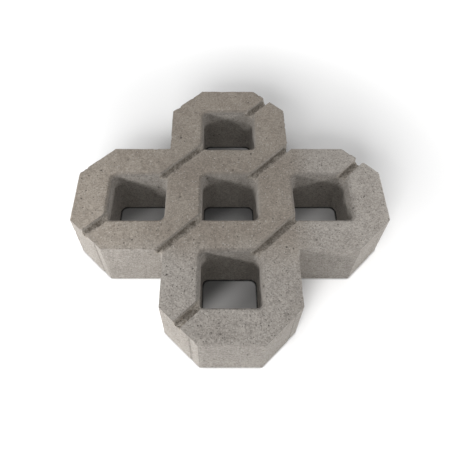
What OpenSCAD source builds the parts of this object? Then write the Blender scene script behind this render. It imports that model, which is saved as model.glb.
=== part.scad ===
// Grass paver: a cross-shaped block of pressed concrete with five square planting holes.
// It lies flat on its bed. The origin is the centre of the bottom face, with +Z up.
// The arms run along X and Y, and the drain grooves run along the diagonal from -X -Y to +X +Y.

/* [Block] */
// Thickness from the bed to the walking face
block_h = 80; // [60:1:120]
// Thickness of the rim between a planting hole and the outside of the block
rim_t = 48; // [35:1:60]
// Thickness of the web between two planting holes
web_t = 50; // [35:1:70]
// Leg of the 45 degree cut across each arm corner
corner_cut = 47; // [20:1:60]
// Leg of the small bevel along the outer edges of the walking face
arris = 1; // [0.5:0.5:4]

/* [Planting holes] */
// Width of a planting hole just below its bevelled mouth
hole_w = 78; // [60:1:100]
// How much narrower a planting hole is at the bed
hole_draft = 2; // [0:0.5:6]
// Radius of the upright corners of a planting hole
hole_corner_r = 9; // [2:0.5:14]
// Leg of the bevel around the mouth of a planting hole
mouth_bevel = 4; // [1:0.5:6]

/* [Drain grooves] */
// Width of a groove at the walking face
groove_w = 12; // [10:0.5:18]
// Width of the groove's floor
groove_floor_w = 8; // [5:0.5:9.5]
// Depth of a groove below the walking face
groove_d = 9.5; // [4:0.5:16]
// How far the grooves lie off the diagonals of the holes, towards -X +Y
groove_shift = 2; // [0:0.5:3]

/* [Hidden] */
concrete_grey = [0.60, 0.58, 0.55];
corner_segments = 48;
// How far a cutter reaches past the face that it cuts
over = 2;
arm_w = hole_w + 2 * rim_t;
hole_pitch = hole_w + web_t;
block_l = arm_w + 2 * hole_pitch;
// The corner cuts of neighbouring arms lie on one line, so one square turned 45 degrees makes them all
cut_square_w = (block_l + arm_w - 2 * corner_cut) / sqrt(2);
hole_centres = [[0, 0], [hole_pitch, 0], [-hole_pitch, 0], [0, hole_pitch], [0, -hole_pitch]];

// Width of a planting hole at height z, before its mouth is bevelled
function hole_width(z) = hole_w - hole_draft * (1 - z / block_h);

// Square plate with bevelled top edges
module edged_plate(w) {
    linear_extrude(block_h - arris) square(w, center = true);
    translate([0, 0, block_h - arris])
        linear_extrude(arris, scale = (w - 2 * arris) / w) square(w, center = true);
}

// Plate that is as long as the cross, with all of its corner cuts
module cut_cornered_plate() {
    intersection() {
        edged_plate(block_l);
        rotate(45) edged_plate(cut_square_w);
    }
}

// Space between two arms, with its bevelled top edges
module arm_notch() {
    notch_w = hole_pitch + over;
    mouth_h = arris + over;
    translate([block_l / 2 + over, block_l / 2 + over, 0]) {
        translate([-notch_w, -notch_w, -over]) cube([notch_w, notch_w, block_h + 2 * over]);
        translate([0, 0, block_h - arris])
            linear_extrude(mouth_h, scale = (notch_w + mouth_h) / notch_w)
                translate([-notch_w, -notch_w]) square(notch_w);
    }
}

module rounded_square(w) {
    offset(r = hole_corner_r, $fn = corner_segments) square(w - 2 * hole_corner_r, center = true);
}

// Planting hole that narrows towards the bed, with a bevelled mouth
module planting_hole() {
    bottom_w = hole_width(-over);
    top_w = hole_width(block_h + over);
    throat_w = hole_width(block_h - mouth_bevel);
    mouth_h = mouth_bevel + over;
    translate([0, 0, -over])
        linear_extrude(block_h + 2 * over, scale = top_w / bottom_w) rounded_square(bottom_w);
    translate([0, 0, block_h - mouth_bevel])
        linear_extrude(mouth_h, scale = (throat_w + 2 * mouth_h) / throat_w) rounded_square(throat_w);
}

// Drain groove along X, a little to one side of it and open above the walking face
module drain_groove() {
    side_run = (groove_w - groove_floor_w) / 2;
    lip_w = groove_w + 2 * side_run * over / groove_d;
    groove_l = 2 * block_l;
    translate([-groove_l / 2, groove_shift, block_h]) rotate([90, 0, 90]) linear_extrude(groove_l)
        polygon([
            [-groove_floor_w / 2, -groove_d],
            [groove_floor_w / 2, -groove_d],
            [lip_w / 2, over],
            [-lip_w / 2, over],
        ]);
}

module paver_block() {
    color(concrete_grey) difference() {
        cut_cornered_plate();
        for (turn = [0:90:270]) rotate(turn) arm_notch();
        for (centre = hole_centres) translate(centre) planting_hole();
        for (row = [-1:1]) translate([0, row * hole_pitch, 0]) rotate(45) drain_groove();
    }
}

paver_block();
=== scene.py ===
"""Looks of the grass paver: one block of pressed concrete, lying on a white studio floor.

The block is cast again from its solid as a fine skin, which then gets its worn edges,
chips, pits, rough groove floors and mould lines. Lengths are in metres.
"""

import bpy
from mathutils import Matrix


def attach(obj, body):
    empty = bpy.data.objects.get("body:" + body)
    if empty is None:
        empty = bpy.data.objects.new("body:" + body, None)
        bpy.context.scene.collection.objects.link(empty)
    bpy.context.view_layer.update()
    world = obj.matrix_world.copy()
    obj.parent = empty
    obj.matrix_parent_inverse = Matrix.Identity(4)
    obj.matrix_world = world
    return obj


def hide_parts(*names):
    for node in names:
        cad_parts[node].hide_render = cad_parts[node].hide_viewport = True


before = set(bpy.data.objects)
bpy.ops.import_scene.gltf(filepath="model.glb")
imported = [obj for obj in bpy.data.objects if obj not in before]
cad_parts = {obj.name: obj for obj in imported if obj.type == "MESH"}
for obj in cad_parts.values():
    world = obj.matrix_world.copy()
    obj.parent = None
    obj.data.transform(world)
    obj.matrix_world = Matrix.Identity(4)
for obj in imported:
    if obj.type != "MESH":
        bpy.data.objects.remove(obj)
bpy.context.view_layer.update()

import math

import bmesh
import bpy
import numpy as np
from mathutils import Euler, Vector, kdtree

MM = 0.001

# Sizes of the block, as its solid has them
BLOCK_H = 80 * MM
BLOCK_L = 430 * MM
ARM_W = 174 * MM
CORNER_CUT = 47 * MM
HOLE_W = 78 * MM
HOLE_CORNER_R = 9 * MM
HOLE_PITCH = 128 * MM
MOUTH_BEVEL = 4 * MM
GROOVE_W = 12 * MM
GROOVE_D = 9.5 * MM
GROOVE_SHIFT = 2 * MM
HOLE_CENTRES = [(0, 0), (1, 0), (-1, 0), (0, 1), (0, -1)]
FAR_END = BLOCK_L / 2
HALF_END_FACE = ARM_W / 2 - CORNER_CUT

# Skin of the block: how fine it is, how close to an edge a point is drawn onto it, and how close points join
SKIN_STEP = 2.15 * MM
EDGE_CATCH = 0.62 * SKIN_STEP
WELD = 0.2 * MM
SHARP_ANGLE = math.radians(38)

# Relief of the skin: size across and height
TOP_WAVE_W, TOP_WAVE_H = 22 * MM, 0.12 * MM
GRAIN_W, GRAIN_H = 5 * MM, 0.10 * MM
EDGE_WEAR_W, EDGE_WEAR_H = 9 * MM, 0.35 * MM
CHIP_W, CHIP_D = 11 * MM, 1.0 * MM
CHIP_RISE = (0.30, 0.75)
GROOVE_ROUGH_W, GROOVE_ROUGH_H = 6 * MM, 1.1 * MM
BED_ROUGH_W, BED_ROUGH_H = 8 * MM, 0.35 * MM
DRAG_W, DRAG_H = 7 * MM, 0.12 * MM
DRAG_STRETCH = np.array([1, 1, 0.1])
WEAR_REACH = 3.2 * MM
WORN_EDGE_REACH = 2.6 * MM

# Each kind of relief draws from its own seed
WAVE_SEED, GRAIN_SEED, EDGE_SEED, CHIP_SEED = 20, 30, 40, 50
GROOVE_SEED, BED_SEED, DRAG_SEED = 60, 70, 80
TOP_PIT_SEED, SIDE_PIT_SEED, GROOVE_PIT_SEED = 90, 100, 110

# Small pits: how many, with their least and greatest radius and depth
TOP_PITS = (420, (1.6 * MM, 3.4 * MM), (0.5 * MM, 1.5 * MM))
SIDE_PITS = (260, (1.6 * MM, 3.0 * MM), (0.4 * MM, 1.0 * MM))
GROOVE_PITS = (500, (1.5 * MM, 3.2 * MM), (0.6 * MM, 1.6 * MM))

# Larger pits and knocks of the walking face: place along X and Y, radius and depth in mm
KNOCKS = [
    (-40, -214, 5.0, 3.0),
    (-13, -201, 3.2, 2.0),
    (37, -214, 3.5, 1.6),
    (-126, -86, 3.0, 1.8),
    (-109, -86, 3.2, 2.0),
    (-102, -86, 2.8, 1.6),
    (-122, 42, 3.2, 2.0),
    (-112, -62, 2.8, 1.6),
    (146, 43, 3.0, 1.8),
    (178, -51, 2.8, 1.8),
    (112, -57, 2.6, 1.4),
    (5, 47, 3.4, 1.8),
]

# Strip that the mould left at one end of each corner cut, and the line beside it
MOULD_STRIP_SHARE = 0.215
MOULD_STRIP_D = 0.5 * MM
MOULD_LINE_W, MOULD_LINE_D = 1.6 * MM, 0.9 * MM
MOULD_FACE_REACH = 4 * MM


def smooth_ramp(low, high, value):
    """0 below low, 1 above high, and a soft rise between them"""
    share = np.clip((value - low) / (high - low), 0, 1)
    return share * share * (3 - 2 * share)


def lattice_noise(points, size, seed):
    """Smooth random value from -1 to 1 at each point, with bumps about size across"""
    grid = points / size
    cell = np.floor(grid).astype(np.int64)
    part = grid - cell
    part = part * part * (3 - 2 * part)
    total = np.zeros(len(points))
    for corner in np.ndindex(2, 2, 2):
        at = cell + np.array(corner)
        mixed = at[:, 0] * 73856093 ^ at[:, 1] * 19349663 ^ at[:, 2] * 83492791 ^ seed * 2654435761
        mixed = (mixed ^ (mixed >> 13)) * 1274126177
        mixed = mixed ^ (mixed >> 16)
        value = (mixed & 0xFFFF) / 32767.5 - 1
        weight = np.prod(np.where(np.array(corner) == 1, part, 1 - part), axis=1)
        total += weight * value
    return total


def layered_noise(points, size, seed, layers=3):
    """Noise with finer and weaker noise on top of it"""
    total = np.zeros(len(points))
    for layer in range(layers):
        total += lattice_noise(points, size / 2 ** layer, seed + layer) / 2 ** layer
    return total / 1.4


# Distances in plan, negative inside

def outline_distance(x, y):
    arm = np.maximum(np.abs(x) - ARM_W / 2, np.abs(y) - BLOCK_L / 2)
    other_arm = np.maximum(np.abs(x) - BLOCK_L / 2, np.abs(y) - ARM_W / 2)
    reach = (BLOCK_L + ARM_W) / 2 - CORNER_CUT
    return np.maximum(np.minimum(arm, other_arm), (np.abs(x) + np.abs(y) - reach) / math.sqrt(2))


def hole_distance(x, y):
    best = np.full(len(x), 1.0)
    for column, row in HOLE_CENTRES:
        across = np.abs(x - column * HOLE_PITCH) - HOLE_W / 2 + HOLE_CORNER_R
        along = np.abs(y - row * HOLE_PITCH) - HOLE_W / 2 + HOLE_CORNER_R
        outside = np.hypot(np.maximum(across, 0), np.maximum(along, 0))
        inside = np.minimum(np.maximum(across, along), 0)
        best = np.minimum(best, outside + inside - HOLE_CORNER_R)
    return best


def groove_distance(x, y):
    """How far a point lies off the middle of the nearest groove"""
    best = np.full(len(x), 1.0)
    for row in (-1, 0, 1):
        off = (y - row * HOLE_PITCH - x) / math.sqrt(2) - GROOVE_SHIFT
        best = np.minimum(best, np.abs(off))
    return best


def groove_lip(x, y):
    return groove_distance(x, y) - GROOVE_W / 2


def quarter_turns(point):
    """A point in plan, and the same turned by 90, 180 and 270 degrees"""
    x, y = point
    return [np.array(turned) for turned in ((x, y), (-y, x), (-x, -y), (y, -x))]


def outline_corners():
    """Corners of the block in plan"""
    corners = [
        (FAR_END, HALF_END_FACE),
        (FAR_END - CORNER_CUT, ARM_W / 2),
        (ARM_W / 2, ARM_W / 2),
        (FAR_END, -HALF_END_FACE),
        (FAR_END - CORNER_CUT, -ARM_W / 2),
    ]
    return [turned for corner in corners for turned in quarter_turns(corner)]


# Mesh

def fine_skin(node_object, step):
    """Even skin over a solid"""
    rough = bpy.data.objects.new("rough_skin", node_object.data.copy())
    bpy.context.scene.collection.objects.link(rough)
    remesh = rough.modifiers.new("even_skin", "REMESH")
    remesh.mode = "VOXEL"
    remesh.voxel_size = step
    depsgraph = bpy.context.evaluated_depsgraph_get()
    mesh = bpy.data.meshes.new_from_object(rough.evaluated_get(depsgraph))
    bpy.data.objects.remove(rough)
    mesh.materials.clear()
    return mesh


def read_points(mesh):
    points = np.zeros(len(mesh.vertices) * 3)
    mesh.vertices.foreach_get("co", points)
    return points.reshape(-1, 3)


def read_normals(mesh):
    normals = np.zeros(len(mesh.vertices) * 3)
    mesh.vertex_normals.foreach_get("vector", normals)
    return normals.reshape(-1, 3)


def write_points(mesh, points):
    mesh.vertices.foreach_set("co", points.ravel())
    mesh.update()


def weld(mesh):
    """Joins points that lie together"""
    grid = bmesh.new()
    grid.from_mesh(mesh)
    bmesh.ops.remove_doubles(grid, verts=grid.verts, dist=WELD)
    bmesh.ops.dissolve_degenerate(grid, edges=grid.edges, dist=WELD / 4)
    grid.to_mesh(mesh)
    grid.free()


def plan_slope(distance, x, y):
    """Direction in plan in which a distance grows"""
    small = 0.01 * MM
    along_x = (distance(x + small, y) - distance(x - small, y)) / (2 * small)
    along_y = (distance(x, y + small) - distance(x, y - small)) / (2 * small)
    return np.column_stack([along_x, along_y])


def with_crisp_edges(points):
    """Moves the points of the skin that lie near an edge of the solid onto it"""
    points = points.copy()
    walls = ((outline_distance, (0, BLOCK_H)), (hole_distance, (0,)), (groove_lip, (BLOCK_H,)))
    for distance, heights in walls:
        for height in heights:
            x, y, z = points.T
            off = distance(x, y)
            near = np.hypot(off, z - height) < EDGE_CATCH
            way = plan_slope(distance, x[near], y[near])
            points[near, :2] -= way * off[near, None]
            points[near, 2] = height
    for corner in outline_corners():
        off = points[:, :2] - corner
        near = np.hypot(off[:, 0], off[:, 1]) < EDGE_CATCH
        points[near, :2] = corner
    return points


def top_edge_distance(points):
    """Distance to the nearest edge of the walking face: outline, hole mouth or groove lip"""
    x, y, z = points.T
    drop = BLOCK_H - z
    rim = np.minimum(np.abs(outline_distance(x, y)), np.abs(hole_distance(x, y) - MOUTH_BEVEL / 2))
    edge = np.minimum(rim, np.abs(groove_lip(x, y)))
    return np.hypot(edge, drop)


def mould_marks(points, normals):
    """Shares of the mould's strip and of the line beside it, on the corner cuts"""
    x, y, _ = points.T
    strip = np.zeros(len(points))
    line = np.zeros(len(points))
    cuts = [
        ((-ARM_W / 2, CORNER_CUT - FAR_END), (-HALF_END_FACE, -FAR_END)),
        ((HALF_END_FACE, -FAR_END), (ARM_W / 2, CORNER_CUT - FAR_END)),
    ]
    for start, stop in cuts:
        for a, b in zip(quarter_turns(start), quarter_turns(stop)):
            length = np.linalg.norm(b - a)
            way = (b - a) / length
            out = np.array([way[1], -way[0]])
            from_stop = (b[0] - x) * way[0] + (b[1] - y) * way[1]
            off = np.abs((x - a[0]) * out[0] + (y - a[1]) * out[1])
            facing = normals[:, 0] * out[0] + normals[:, 1] * out[1]
            on_face = (off < MOULD_FACE_REACH) & (facing > 0.6)
            on_face = on_face & (from_stop > -2 * MM) & (from_stop < length)
            edge = MOULD_STRIP_SHARE * length
            strip += np.where(on_face, 1 - smooth_ramp(edge - 1 * MM, edge + 1 * MM, from_stop), 0)
            line += np.where(on_face, np.exp(-((from_stop - edge) / MOULD_LINE_W) ** 2), 0)
    return strip, line


def press_pits(points, normals, allowed, pits, seed):
    """Small pits at random points of the skin"""
    count, radii, depths = pits
    draw = np.random.RandomState(seed)
    tree = kdtree.KDTree(len(points))
    for index, point in enumerate(points):
        tree.insert(point, index)
    tree.balance()
    moved = points.copy()
    choices = np.nonzero(allowed)[0]
    for centre in draw.choice(choices, count, replace=False):
        radius = draw.uniform(*radii)
        depth = draw.uniform(*depths)
        for _, index, distance in tree.find_range(Vector(points[centre]), radius):
            share = 1 - (distance / radius) ** 2
            moved[index] -= normals[centre] * depth * share
    return moved


def knocked(points):
    """Lowers the walking face where it has a larger pit or knock"""
    lowered = points.copy()
    for x, y, radius, depth in KNOCKS:
        off = np.linalg.norm(points - np.array([x * MM, y * MM, BLOCK_H]), axis=1) / (radius * MM)
        lowered[:, 2] -= depth * MM * np.clip(1 - off ** 2, 0, 1)
    return lowered


def depth_in_groove(points, normals):
    x, y, z = points.T
    depth = np.where(groove_lip(x, y) < 1 * MM, BLOCK_H - z, 0)
    return np.where((depth < GROOVE_D + 1 * MM) & (normals[:, 2] > -0.2), depth, 0)


def worn(points, normals):
    """Points of the skin with the relief of worn, pressed concrete"""
    x, y, z = points.T
    up = normals[:, 2]
    near_edge = np.exp(-(top_edge_distance(points) / WEAR_REACH) ** 2)
    groove_floor = smooth_ramp(4 * MM, 8 * MM, depth_in_groove(points, normals)) * smooth_ramp(0.3, 0.8, up)
    on_top = smooth_ramp(0.5, 0.9, up) * (z > BLOCK_H - 3 * MM)
    inside = np.minimum(-outline_distance(x, y), hole_distance(x, y))
    on_bed = smooth_ramp(0.5, 0.9, -up) * smooth_ramp(2 * MM, 8 * MM, inside)
    top_skin = (near_edge < 0.4) & (np.abs(up) > 0.9) & (z > BLOCK_H - 12 * MM)
    side_skin = (np.abs(up) < 0.2) & (z > 4 * MM) & (z < BLOCK_H - 4 * MM)

    push = -TOP_WAVE_H * (1 + layered_noise(points, TOP_WAVE_W, WAVE_SEED)) * on_top
    push += GRAIN_H * layered_noise(points, GRAIN_W, GRAIN_SEED)
    push += EDGE_WEAR_H * layered_noise(points, EDGE_WEAR_W, EDGE_SEED) * near_edge
    push -= CHIP_D * smooth_ramp(*CHIP_RISE, layered_noise(points, CHIP_W, CHIP_SEED)) * near_edge
    push += GROOVE_ROUGH_H * layered_noise(points, GROOVE_ROUGH_W, GROOVE_SEED) * groove_floor
    push -= BED_ROUGH_H * (1 + layered_noise(points, BED_ROUGH_W, BED_SEED)) * on_bed
    push += DRAG_H * layered_noise(points * DRAG_STRETCH, DRAG_W, DRAG_SEED) * (np.abs(up) < 0.3)
    strip, line = mould_marks(points, normals)
    push -= MOULD_STRIP_D * strip + MOULD_LINE_D * line

    points = points + normals * push[:, None]
    # Each set of pits is pressed into the skin that the set before it left
    points = press_pits(points, normals, top_skin, TOP_PITS, TOP_PIT_SEED)
    points = press_pits(points, normals, side_skin, SIDE_PITS, SIDE_PIT_SEED)
    points = knocked(points)
    points = press_pits(points, normals, groove_floor > 0.6, GROOVE_PITS, GROOVE_PIT_SEED)
    reach = np.array([BLOCK_L / 2, BLOCK_L / 2, BLOCK_H])
    return np.clip(points, np.array([-reach[0], -reach[1], 0]), reach)


def skin_masks(points, normals):
    """Shares by which the concrete tells its places apart, read from the skin before its wear"""
    x, y, z = points.T
    up = normals[:, 2]
    # Painted shade on the hole mouths, weaker where the mouth faces the left
    mouth = 1 - smooth_ramp(MOUTH_BEVEL - 0.8 * MM, MOUTH_BEVEL + 0.6 * MM, hole_distance(x, y))
    mouth = mouth * smooth_ramp(BLOCK_H - 8 * MM, BLOCK_H - MOUTH_BEVEL, z)
    mouth = mouth * (1 - 0.6 * smooth_ramp(0.2, 0.7, -normals[:, 0]))
    strip, line = mould_marks(points, normals)
    return {
        "walked": smooth_ramp(0.35, 0.85, up) * smooth_ramp(BLOCK_H - 14 * MM, BLOCK_H - 10 * MM, z),
        "in_groove": smooth_ramp(1.5 * MM, 5 * MM, depth_in_groove(points, normals)),
        "hole_mouth_shade": mouth,
        "worn_edge": np.exp(-(top_edge_distance(points) / WORN_EDGE_REACH) ** 2),
        "mould_strip": strip,
        "mould_line": line,
    }


def make_block():
    mesh = fine_skin(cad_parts["paver_block"], SKIN_STEP)
    write_points(mesh, with_crisp_edges(read_points(mesh)))
    weld(mesh)
    points = read_points(mesh)
    normals = read_normals(mesh)
    write_points(mesh, worn(points, normals))
    for polygon in mesh.polygons:
        polygon.use_smooth = True
    mesh.set_sharp_from_angle(angle=SHARP_ANGLE)
    for name, values in skin_masks(points, normals).items():
        layer = mesh.attributes.new(name, "FLOAT", "POINT")
        layer.data.foreach_set("value", values.astype(np.float32))
    block = bpy.data.objects.new("paver_concrete", mesh)
    bpy.context.scene.collection.objects.link(block)
    return block


# Shader nodes

def new_node(tree, kind, **settings):
    node = tree.nodes.new(kind)
    for name, value in settings.items():
        setattr(node, name, value)
    return node


def plug(tree, source, target):
    """Links a socket, or sets a number or colour"""
    if isinstance(source, bpy.types.NodeSocket):
        tree.links.new(source, target)
    else:
        target.default_value = source


def maths(tree, operation, first, second=0.0, third=0.0):
    node = new_node(tree, "ShaderNodeMath", operation=operation)
    for socket, value in zip(node.inputs, (first, second, third)):
        plug(tree, value, socket)
    return node.outputs[0]


def times(tree, first, second):
    return maths(tree, "MULTIPLY", first, second)


def rescaled(tree, value, factor, offset):
    return maths(tree, "MULTIPLY_ADD", value, factor, offset)


def greatest(tree, first, second):
    return maths(tree, "MAXIMUM", first, second)


def size_of(tree, value):
    return maths(tree, "ABSOLUTE", value)


def mixed_colour(tree, share, first, second, blend="MIX"):
    node = new_node(tree, "ShaderNodeMix", data_type="RGBA", blend_type=blend)
    plug(tree, share, node.inputs[0])
    plug(tree, first, node.inputs[6])
    plug(tree, second, node.inputs[7])
    return node.outputs[2]


def toned(tree, colour, tone):
    return mixed_colour(tree, 1.0, colour, tone, "MULTIPLY")


def ramp_between(tree, value, low, high, to_low=0.0, to_high=1.0):
    node = new_node(tree, "ShaderNodeMapRange", interpolation_type="SMOOTHSTEP")
    for socket, setting in zip(node.inputs, (value, low, high, to_low, to_high)):
        plug(tree, setting, socket)
    return node.outputs[0]


def split_vector(tree, vector):
    node = new_node(tree, "ShaderNodeSeparateXYZ")
    plug(tree, vector, node.inputs[0])
    return node.outputs


def length_of(tree, vector):
    node = new_node(tree, "ShaderNodeVectorMath", operation="LENGTH")
    plug(tree, vector, node.inputs[0])
    return node.outputs["Value"]


def noise(tree, place, scale, detail=3.0, rough=0.55):
    node = new_node(tree, "ShaderNodeTexNoise")
    plug(tree, place, node.inputs["Vector"])
    plug(tree, scale, node.inputs["Scale"])
    plug(tree, detail, node.inputs["Detail"])
    plug(tree, rough, node.inputs["Roughness"])
    return node.outputs[0]


def cells(tree, place, scale):
    """Distance to the middle of a cell, and two random values of the cell"""
    node = new_node(tree, "ShaderNodeTexVoronoi")
    plug(tree, place, node.inputs["Vector"])
    plug(tree, scale, node.inputs["Scale"])
    draws = new_node(tree, "ShaderNodeSeparateColor")
    plug(tree, node.outputs["Color"], draws.inputs[0])
    return node.outputs["Distance"], draws.outputs[0], draws.outputs[1]


def new_group(name, inputs, outputs):
    """Node group with named sockets. Inputs give (name, kind, value)."""
    tree = bpy.data.node_groups.new(name, "ShaderNodeTree")
    for label, kind, value in inputs:
        socket = tree.interface.new_socket(label, in_out="INPUT", socket_type="NodeSocket" + kind)
        if value is not None:
            socket.default_value = value
    for label, kind in outputs:
        tree.interface.new_socket(label, in_out="OUTPUT", socket_type="NodeSocket" + kind)
    return tree, new_node(tree, "NodeGroupInput").outputs, new_node(tree, "NodeGroupOutput").inputs


def placed(tree, group, **values):
    node = new_node(tree, "ShaderNodeGroup", node_tree=group)
    for label, value in values.items():
        plug(tree, value, node.inputs[label.replace("_", " ").title()])
    return node.outputs


def cement_tone_group():
    """Slow clouds of two cement colours"""
    tree, take, give = new_group(
        "cement_tone",
        [
            ("Place", "Vector", None),
            ("Cloud Scale", "Float", 20.0),
            ("Pale", "Color", None),
            ("Dark", "Color", None),
        ],
        [("Colour", "Color")],
    )
    slow = noise(tree, take["Place"], take["Cloud Scale"], 4.0, 0.6)
    quick = noise(tree, take["Place"], times(tree, take["Cloud Scale"], 6.0), 3.0, 0.6)
    share = maths(tree, "ADD", times(tree, slow, 0.6), times(tree, quick, 0.4))
    paleness = ramp_between(tree, share, 0.36, 0.64)
    plug(tree, mixed_colour(tree, paleness, take["Dark"], take["Pale"]), give["Colour"])
    return tree


def sand_grain_group():
    """Grains of sand in the cement: a tone about 1, a share of pale grains and a height"""
    tree, take, give = new_group(
        "sand_grain",
        [("Place", "Vector", None), ("Grain Scale", "Float", 700.0), ("Contrast", "Float", 0.3)],
        [("Tone", "Float"), ("Pale", "Float"), ("Height", "Float")],
    )
    far, draw, other_draw = cells(tree, take["Place"], take["Grain Scale"])
    coarse_scale = times(tree, take["Grain Scale"], 0.62)
    coarse_far, coarse_draw, _ = cells(tree, take["Place"], coarse_scale)
    soft = noise(tree, take["Place"], times(tree, take["Grain Scale"], 0.5), 2.0)
    swing = maths(tree, "ADD", maths(tree, "SUBTRACT", draw, 0.5), maths(tree, "SUBTRACT", soft, 0.5))
    plug(tree, rescaled(tree, swing, take["Contrast"], 1.0), give["Tone"])
    rare = ramp_between(tree, coarse_draw, 0.90, 0.96)
    plug(tree, times(tree, rare, ramp_between(tree, coarse_far, 0.25, 0.55, 1.0, 0.0)), give["Pale"])
    dome = maths(tree, "SUBTRACT", 1.0, far)
    plug(tree, times(tree, dome, other_draw), give["Height"])
    return tree


def open_pores_group():
    """Small holes that the pressing left: a mask"""
    tree, take, give = new_group(
        "open_pores",
        [("Place", "Vector", None), ("Pore Scale", "Float", 250.0), ("Share", "Float", 0.2)],
        [("Mask", "Float")],
    )
    far, draw, width = cells(tree, take["Place"], take["Pore Scale"])
    there = maths(tree, "LESS_THAN", draw, take["Share"])
    radius = rescaled(tree, width, 0.20, 0.14)
    inner = times(tree, radius, 0.45)
    plug(tree, times(tree, there, ramp_between(tree, far, inner, radius, 1.0, 0.0)), give["Mask"])
    return tree


# Concrete

# Colours, as light shares
BROWN_PALE = (0.335, 0.297, 0.255, 1)
BROWN_DARK = (0.280, 0.243, 0.206, 1)
GREY_PALE = (0.375, 0.347, 0.317, 1)
GREY_DARK = (0.315, 0.289, 0.262, 1)
SIDE_PALE = (0.336, 0.311, 0.284, 1)
SIDE_DARK = (0.293, 0.269, 0.243, 1)
GRAIN_PALE = (0.520, 0.495, 0.460, 1)
EDGE_PALE = (0.400, 0.380, 0.350, 1)
GROOVE_PALE = (0.450, 0.412, 0.365, 1)
GROOVE_DIRT = (0.150, 0.128, 0.105, 1)
PORE_DARK = (0.070, 0.062, 0.054, 1)

# How much of each effect shows
# Painted shade on the hole mouths
MOUTH_PAINTED_SHADE = 0.27
# Painted light at the foot of the front arm's left half
FOOT_PAINTED_LIGHT = 0.13
EDGE_WEAR_SHARE = 0.05
GROOVE_PALE_SHARE = 0.9
PORE_SHARE = 0.85
STRIP_SHARE = 0.12
# Painted shade in the mould line
LINE_SHADE_SHARE = 0.35

# Scales of the textures
TOP_CLOUDS, SIDE_CLOUDS = 14.0, 18.0
TOP_GRAINS, SIDE_GRAINS = 680.0, 700.0
SMALL_PORES, MIDDLE_PORES, LARGE_PORES = 330.0, 210.0, 125.0
MIX_NOISE, DIRT_NOISE, GLOSS_NOISE, RELIEF_NOISE = 16.0, 400.0, 260.0, 450.0

# Factor and offset
TOP_CONTRAST = (0.08, 0.40)
SIDE_CONTRAST = 0.48
PALE_GRAINS = (0.45, 0.15)
OPEN_SHARE = (0.26, 0.18)
LARGE_SHARE = (0.045, 0.022)
PORES_ON_TOP = (0.3, 0.7)

# Ramps: from where to where, and the values there
GREY_MIX = (0.085, 0.155)
MIDDLE_TONE = (0.10, 0.16, 0.93, 1.0)
END_TONE = (0.08, 0.20, 1.0, 1.12)
REAR_TONE = (0.08, 0.18, 1.0, 1.10)
# Where the painted light at the foot of the front arm lies
FOOT_BY_X = (0.03, 0.07, 1.0, 0.0)
FOOT_BY_Y = (-0.20, -0.12, 1.0, 0.0)
FOOT_BY_Z = (0.0, 0.06, 1.0, 0.0)
SPECKLE = (0.40, 0.58, 0.6, 0.0)
ROUGHNESS = (0.2, 0.8, 0.82, 0.97)
SPECULAR = 0.25

# Fine relief: shares of the grains, of the noise and of the pores, and its strength
GRAIN_RELIEF, NOISE_RELIEF, PORE_RELIEF = 0.5, 0.6, 1.5
BUMP_STRENGTH = 0.5
BUMP_H = 0.7 * MM


def mask_of(tree, name):
    return new_node(tree, "ShaderNodeAttribute", attribute_name=name).outputs["Fac"]


def top_colour(tree, place, grey_mix, clouds):
    """Colour of the walking face: darker in the middle, and paler towards the sides and the rear"""
    brown = placed(tree, clouds, place=place, cloud_scale=TOP_CLOUDS, pale=BROWN_PALE, dark=BROWN_DARK)
    grey = placed(tree, clouds, place=place, cloud_scale=TOP_CLOUDS, pale=GREY_PALE, dark=GREY_DARK)
    colour = mixed_colour(tree, grey_mix, brown["Colour"], grey["Colour"])
    where = split_vector(tree, place)
    middle_tone = ramp_between(tree, length_of(tree, place), *MIDDLE_TONE)
    end_tone = ramp_between(tree, size_of(tree, where["X"]), *END_TONE)
    rear_tone = ramp_between(tree, where["Y"], *REAR_TONE)
    return toned(tree, colour, times(tree, times(tree, middle_tone, end_tone), rear_tone))


def side_colour(tree, place, clouds):
    """Colour of the sides, with painted light that makes the foot of the front arm's left half paler"""
    side = placed(tree, clouds, place=place, cloud_scale=SIDE_CLOUDS, pale=SIDE_PALE, dark=SIDE_DARK)
    where = split_vector(tree, place)
    foot = times(tree, ramp_between(tree, where["Z"], *FOOT_BY_Z), ramp_between(tree, where["Y"], *FOOT_BY_Y))
    foot = times(tree, foot, ramp_between(tree, where["X"], *FOOT_BY_X))
    return toned(tree, side["Colour"], rescaled(tree, foot, FOOT_PAINTED_LIGHT, 1.0))


def open_pores(tree, place, grey_mix, walked):
    """Mask of the pores of three sizes, with more of them on the walking face"""
    pores = open_pores_group()
    share = rescaled(tree, grey_mix, *OPEN_SHARE)
    middle_share = times(tree, share, 0.3)
    large_share = rescaled(tree, grey_mix, *LARGE_SHARE)
    small = placed(tree, pores, place=place, pore_scale=SMALL_PORES, share=share)["Mask"]
    middle = placed(tree, pores, place=place, pore_scale=MIDDLE_PORES, share=middle_share)["Mask"]
    large = placed(tree, pores, place=place, pore_scale=LARGE_PORES, share=large_share)["Mask"]
    pore = greatest(tree, greatest(tree, small, middle), large)
    return times(tree, pore, rescaled(tree, walked, *PORES_ON_TOP))


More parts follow.
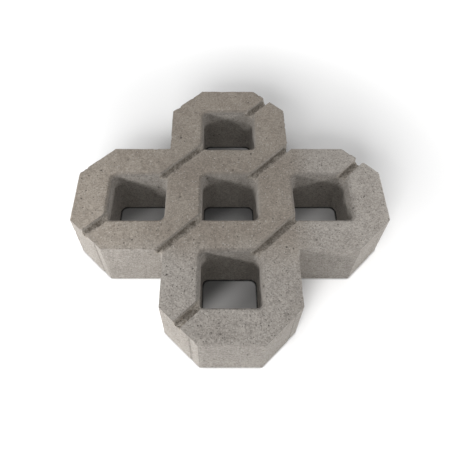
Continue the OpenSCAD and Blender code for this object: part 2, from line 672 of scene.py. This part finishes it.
def pressed_concrete():
    material = bpy.data.materials.new("pressed_concrete")
    material.use_nodes = True
    tree = material.node_tree
    shader = tree.nodes["Principled BSDF"]
    place = new_node(tree, "ShaderNodeTexCoord").outputs["Object"]
    where = split_vector(tree, place)
    walked = mask_of(tree, "walked")
    groove = mask_of(tree, "in_groove")
    clouds = cement_tone_group()
    grains = sand_grain_group()

    # The mix is greyer and more open towards the front and the right, and browner elsewhere
    frontward = greatest(tree, where["X"], times(tree, where["Y"], -1.0))
    frontward = rescaled(tree, noise(tree, place, MIX_NOISE), 0.05, frontward)
    grey_mix = ramp_between(tree, frontward, *GREY_MIX)
    top = top_colour(tree, place, grey_mix, clouds)
    colour = mixed_colour(tree, walked, side_colour(tree, place, clouds), top)
    # Painted shade on the hole mouths
    colour = toned(tree, colour, rescaled(tree, mask_of(tree, "hole_mouth_shade"), -MOUTH_PAINTED_SHADE, 1.0))

    contrast = rescaled(tree, grey_mix, *TOP_CONTRAST)
    sand = placed(tree, grains, place=place, grain_scale=TOP_GRAINS, contrast=contrast)
    side_sand = placed(tree, grains, place=place, grain_scale=SIDE_GRAINS, contrast=SIDE_CONTRAST)
    not_walked = maths(tree, "SUBTRACT", 1.0, walked)
    top_tone = times(tree, sand["Tone"], walked)
    side_tone = times(tree, side_sand["Tone"], not_walked)
    colour = toned(tree, colour, maths(tree, "ADD", top_tone, side_tone))
    pale_share = times(tree, sand["Pale"], rescaled(tree, walked, *PALE_GRAINS))
    colour = mixed_colour(tree, pale_share, colour, GRAIN_PALE)

    edge_share = times(tree, mask_of(tree, "worn_edge"), EDGE_WEAR_SHARE)
    colour = mixed_colour(tree, edge_share, colour, EDGE_PALE)
    colour = mixed_colour(tree, times(tree, groove, GROOVE_PALE_SHARE), colour, GROOVE_PALE)
    speckle = ramp_between(tree, noise(tree, place, DIRT_NOISE, 2.0), *SPECKLE)
    colour = mixed_colour(tree, times(tree, groove, speckle), colour, GROOVE_DIRT)
    pore = open_pores(tree, place, grey_mix, walked)
    colour = mixed_colour(tree, times(tree, pore, PORE_SHARE), colour, PORE_DARK)
    strip_share = times(tree, mask_of(tree, "mould_strip"), STRIP_SHARE)
    colour = mixed_colour(tree, strip_share, colour, EDGE_PALE)
    # The mould line is a real dent, and its shade is painted darker as well
    line_shade_share = times(tree, mask_of(tree, "mould_line"), LINE_SHADE_SHARE)
    colour = mixed_colour(tree, line_shade_share, colour, PORE_DARK)
    plug(tree, colour, shader.inputs["Base Color"])

    rough = ramp_between(tree, noise(tree, place, GLOSS_NOISE, 2.0), *ROUGHNESS)
    plug(tree, rough, shader.inputs["Roughness"])
    shader.inputs["Specular IOR Level"].default_value = SPECULAR

    relief = times(tree, sand["Height"], GRAIN_RELIEF)
    relief = maths(tree, "ADD", relief, times(tree, noise(tree, place, RELIEF_NOISE), NOISE_RELIEF))
    relief = maths(tree, "SUBTRACT", relief, times(tree, pore, PORE_RELIEF))
    bump = new_node(tree, "ShaderNodeBump")
    bump.inputs["Strength"].default_value = BUMP_STRENGTH
    bump.inputs["Distance"].default_value = BUMP_H
    plug(tree, relief, bump.inputs["Height"])
    plug(tree, bump.outputs[0], shader.inputs["Normal"])
    return material


# Studio floor

FLOOR_W = 6.0
FLOOR_DROP = 0.1 * MM
FLOOR_WHITE = (0.92, 0.92, 0.92, 1)
FLOOR_BOUNCE = (0.85, 0.85, 0.85, 1)
# Painted shade and light on the floor in the holes
FLOOR_MIDDLE_HOLE_SHADE = (0.23, 0.23, 0.235, 1)
FLOOR_OUTER_HOLE_SHADE = (0.52, 0.52, 0.525, 1)
FLOOR_HOLE_FRONT_LIGHT = (0.95, 0.95, 0.95, 1)
# Painted contact shade where the floor meets the block, in the holes and outside
FLOOR_CONTACT_SHADE = (0.05, 0.05, 0.05, 1)
FLOOR_OUTER_CONTACT_SHADE = (0.50, 0.50, 0.50, 1)
FLOOR_SHADE_FRONT = (0.60, 0.60, 0.605, 1)
FLOOR_SHADE_REAR = (0.06, 0.06, 0.065, 1)

# Painted streak of light across the floor in the holes
STREAK_W = 38 * MM
STREAK_OFF = 15 * MM
STREAK_TONE = (1.35, 0.45)
STREAK_NEAR_TONE = 0.62

# Ramps: from where to where, and the values there
MIDDLE_TO_OUTER = (0.45 * HOLE_PITCH, 0.65 * HOLE_PITCH)
STREAK_BY_Y = (-0.09, -0.05, 1.0, 0.5)
HOLE_TONE_BY_X = (-0.17, 0.17, 0.76, 1.08)
REARWARD = (-0.05, 0.05)
OUTWARD = (0.09, 0.15)
FROM_LIGHT = (-0.16, -0.08)
HOLE_OPENNESS = (0.25, 0.5)
OUTER_OPENNESS = (0.25, 0.85)
CONTACT_OPENNESS = (0.55, 0.85)
FLOOR_LIFT = (0.31, 0.72, 0.0, 0.6)

# How far above the floor its shade looks for the block
SHADE_REACH = 0.20
CONTACT_REACH = 4.5 * MM
SHADE_SAMPLES = 16


def seen_directly(tree):
    """1 where the camera sees a thing, also in gloss or through glass, and 0 where it only lights others"""
    path = new_node(tree, "ShaderNodeLightPath").outputs
    mirrored = greatest(tree, path["Is Glossy Ray"], path["Is Transmission Ray"])
    return greatest(tree, path["Is Camera Ray"], mirrored)


def openness(tree, reach):
    """Share of the space above a spot that is open as far as reach"""
    node = new_node(tree, "ShaderNodeAmbientOcclusion", samples=SHADE_SAMPLES)
    node.inputs["Distance"].default_value = reach
    return node.outputs["AO"]


def hole_row(tree, along):
    """Number of the row of holes at a place, and how far off its middle the place is, in pitches"""
    rows = maths(tree, "DIVIDE", along, HOLE_PITCH)
    number = maths(tree, "ROUND", rows)
    return number, maths(tree, "SUBTRACT", rows, number)


def painted_hole_floor(tree, spot, in_column, in_row):
    """Colour of the floor in the holes, with painted shade and light: darkest in the middle hole, paler in
    the outer holes, to the front and to the right, with a painted streak of light across it
    """
    place = split_vector(tree, spot)
    half_hole = HOLE_W / 2 / HOLE_PITCH
    outer = ramp_between(tree, length_of(tree, spot), *MIDDLE_TO_OUTER)
    colour = mixed_colour(tree, outer, FLOOR_MIDDLE_HOLE_SHADE, FLOOR_OUTER_HOLE_SHADE)
    forward = ramp_between(tree, in_row, -half_hole, half_hole, 1.0, 0.0)
    colour = mixed_colour(tree, forward, colour, FLOOR_HOLE_FRONT_LIGHT)
    # Painted streak of light across the hole floor
    off_diagonal = maths(tree, "SUBTRACT", in_row, in_column)
    off_streak = maths(tree, "SUBTRACT", off_diagonal, STREAK_OFF / HOLE_PITCH)
    width = STREAK_W / HOLE_PITCH
    far_side = ramp_between(tree, off_streak, 0.0, width, *STREAK_TONE)
    near_side = ramp_between(tree, off_streak, -width, 0.0, STREAK_NEAR_TONE, 1.0)
    strength = ramp_between(tree, place["Y"], *STREAK_BY_Y)
    colour = mixed_colour(tree, strength, colour, times(tree, far_side, near_side), "MULTIPLY")
    return toned(tree, colour, ramp_between(tree, place["X"], *HOLE_TONE_BY_X))


def outer_floor_colour(tree, spot, open_above):
    """Colour of the floor around the block: shaded beside the walls that face away from the light"""
    place = split_vector(tree, spot)
    outward = ramp_between(tree, place["X"], *OUTWARD)
    shade = mixed_colour(tree, outward, FLOOR_SHADE_FRONT, FLOOR_WHITE)
    shade = mixed_colour(tree, ramp_between(tree, place["Y"], *REARWARD), shade, FLOOR_SHADE_REAR)
    from_light = ramp_between(tree, maths(tree, "ADD", place["X"], place["Y"]), *FROM_LIGHT)
    shade = mixed_colour(tree, from_light, FLOOR_WHITE, shade)
    return mixed_colour(tree, ramp_between(tree, open_above, *OUTER_OPENNESS), shade, FLOOR_WHITE)


def floor_colour(tree, spot):
    """Colour of the floor as the camera sees it, with painted shade in the holes, along the block's foot and
    beside the walls that face away from the light
    """
    place = split_vector(tree, spot)
    column, in_column = hole_row(tree, place["X"])
    row, in_row = hole_row(tree, place["Y"])
    open_above = openness(tree, SHADE_REACH)
    # Painted contact shade along the block's foot
    clear = ramp_between(tree, openness(tree, CONTACT_REACH), *CONTACT_OPENNESS)

    in_holes = mixed_colour(tree, clear, FLOOR_CONTACT_SHADE, painted_hole_floor(tree, spot, in_column, in_row))
    in_holes = mixed_colour(tree, ramp_between(tree, open_above, *HOLE_OPENNESS), in_holes, FLOOR_WHITE)
    outside = mixed_colour(tree, clear, FLOOR_OUTER_CONTACT_SHADE, outer_floor_colour(tree, spot, open_above))

    off_hole = greatest(tree, size_of(tree, in_row), size_of(tree, in_column))
    off_cross = maths(tree, "ADD", size_of(tree, row), size_of(tree, column))
    past_hole = maths(tree, "GREATER_THAN", off_hole, HOLE_W / 2 / HOLE_PITCH)
    past_cross = maths(tree, "GREATER_THAN", off_cross, 1.5)
    return mixed_colour(tree, greatest(tree, past_hole, past_cross), in_holes, outside)


def white_floor():
    material = bpy.data.materials.new("white_floor")
    material.use_nodes = True
    tree = material.node_tree
    tree.nodes.clear()
    shown = seen_directly(tree)
    spot = new_node(tree, "ShaderNodeTexCoord").outputs["Object"]
    paint = new_node(tree, "ShaderNodeBsdfDiffuse")
    plug(tree, mixed_colour(tree, shown, FLOOR_BOUNCE, floor_colour(tree, spot)), paint.inputs["Color"])
    glow = new_node(tree, "ShaderNodeEmission")
    lift = ramp_between(tree, length_of(tree, spot), *FLOOR_LIFT)
    plug(tree, times(tree, lift, shown), glow.inputs["Strength"])
    both = new_node(tree, "ShaderNodeAddShader")
    plug(tree, paint.outputs[0], both.inputs[0])
    plug(tree, glow.outputs[0], both.inputs[1])
    plug(tree, both.outputs[0], new_node(tree, "ShaderNodeOutputMaterial").inputs["Surface"])
    return material


def make_floor():
    half = FLOOR_W / 2
    corners = [(-half, -half, 0), (half, -half, 0), (half, half, 0), (-half, half, 0)]
    mesh = bpy.data.meshes.new("studio_floor")
    mesh.from_pydata(corners, [], [(0, 1, 2, 3)])
    mesh.materials.append(white_floor())
    floor = bpy.data.objects.new("studio_floor", mesh)
    floor.location.z = -FLOOR_DROP
    bpy.context.scene.collection.objects.link(floor)
    return floor


# Light and camera

# Surroundings: strength, heights over which the light rises and falls, and the side that it comes from
HIGH_RISE = (0.3, 0.9)
LOW_FALL = (0.0, 0.2)
MID_RISE, MID_FALL = (0.0, 0.3), (0.3, 0.65)
SKY = [
    (0.70, HIGH_RISE, None, None),
    (1.9, None, LOW_FALL, -50),
    (0.25, MID_RISE, MID_FALL, None),
    (1.15, MID_RISE, MID_FALL, 180),
]

# Lamps: azimuth and elevation in degrees, and power. Azimuth 0 is the front, and 90 the right.
BLOCK_LAMPS = {
    "left_lamp": (-50, 19.5, 1.42),
    "far_left_lamp": (-65, 19, 1.40),
    "right_lamp": (62, 19, 0.36),
    "far_right_lamp": (77, 20, 1.22),
}
BLOCK_LAMP_AWAY, BLOCK_LAMP_W = 0.7, 0.05
FLOOR_LAMPS = {
    "front_floor_lamp": (-12, 26, 40),
    "left_floor_lamp": (-40, 28, 16),
}
FLOOR_LAMP_AWAY, FLOOR_LAMP_W = 1.8, 0.9

CAMERA_ELEVATION = math.radians(56.38)
CAMERA_AWAY = 730.94 * MM
CAMERA_ASIDE = -15.67 * MM
CAMERA_UP = -3.95 * MM
LENS = 37.57
LENS_SHIFT_X, LENS_SHIFT_Y = 0.0253, 0.0006
SENSOR_W = 36
CLIP_START = 10 * MM


def sky_part(tree, way, strength, rise, fall, azimuth):
    """Light of one part of the surroundings, by height and, if an azimuth is given, towards one side"""
    light = times(tree, maths(tree, "GREATER_THAN", way["Z"], 0.0), strength)
    if rise:
        light = times(tree, light, ramp_between(tree, way["Z"], *rise))
    if fall:
        light = times(tree, light, ramp_between(tree, way["Z"], *fall, 1.0, 0.0))
    if azimuth is not None:
        turn = math.radians(azimuth)
        lobe = times(tree, way["X"], math.sin(turn))
        lobe = rescaled(tree, way["Y"], -math.cos(turn), lobe)
        light = times(tree, light, maths(tree, "POWER", greatest(tree, lobe, 0.0), 2.0))
    return light


def make_world():
    """White surroundings that light the block mostly from low down, as studio walls do"""
    world = bpy.data.worlds.new("studio")
    bpy.context.scene.world = world
    world.use_nodes = True
    tree = world.node_tree
    background = tree.nodes["Background"]
    background.inputs["Color"].default_value = (1, 1, 1, 1)
    way = split_vector(tree, new_node(tree, "ShaderNodeTexCoord").outputs["Generated"])
    light = 0.0
    for strength, rise, fall, azimuth in SKY:
        light = maths(tree, "ADD", light, sky_part(tree, way, strength, rise, fall, azimuth))
    shown = seen_directly(tree)
    hidden = maths(tree, "SUBTRACT", 1.0, shown)
    plug(tree, rescaled(tree, light, hidden, shown), background.inputs["Strength"])


def make_lamp(name, azimuth, elevation, power, distance, width, lit):
    """Square lamp aimed at the block, lighting one thing"""
    turn, lift = math.radians(azimuth), math.radians(elevation)
    lamp = bpy.data.lights.new(name, "AREA")
    lamp.shape = "RECTANGLE"
    lamp.size = width
    lamp.size_y = width
    lamp.energy = power
    piece = bpy.data.objects.new(name, lamp)
    way = Vector((math.sin(turn) * math.cos(lift), -math.cos(turn) * math.cos(lift), math.sin(lift)))
    piece.location = way * distance + Vector((0, 0, BLOCK_H / 2))
    piece.rotation_euler = way.to_track_quat("Z", "Y").to_euler()
    bpy.context.scene.collection.objects.link(piece)
    group = bpy.data.collections.new(name + "_lights")
    group.objects.link(lit)
    piece.light_linking.receiver_collection = group


def make_camera():
    away = Vector((0, -math.cos(CAMERA_ELEVATION), math.sin(CAMERA_ELEVATION)))
    up = Vector((0, math.sin(CAMERA_ELEVATION), math.cos(CAMERA_ELEVATION)))
    lens = bpy.data.cameras.new("photo_camera")
    lens.lens = LENS
    lens.sensor_width = SENSOR_W
    lens.shift_x = LENS_SHIFT_X
    lens.shift_y = LENS_SHIFT_Y
    lens.clip_start = CLIP_START
    camera = bpy.data.objects.new("photo_camera", lens)
    camera.location = away * CAMERA_AWAY + Vector((CAMERA_ASIDE, 0, 0)) + up * CAMERA_UP
    camera.rotation_euler = Euler((math.pi / 2 - CAMERA_ELEVATION, 0, 0))
    bpy.context.scene.collection.objects.link(camera)
    bpy.context.scene.camera = camera


make_camera()
block = make_block()
block.data.materials.append(pressed_concrete())
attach(block, "root")
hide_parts("paver_block")

floor = make_floor()
make_world()
for lamp_name, aim in BLOCK_LAMPS.items():
    make_lamp(lamp_name, *aim, BLOCK_LAMP_AWAY, BLOCK_LAMP_W, block)
for lamp_name, aim in FLOOR_LAMPS.items():
    make_lamp(lamp_name, *aim, FLOOR_LAMP_AWAY, FLOOR_LAMP_W, floor)
bpy.context.scene.view_settings.view_transform = "Standard"
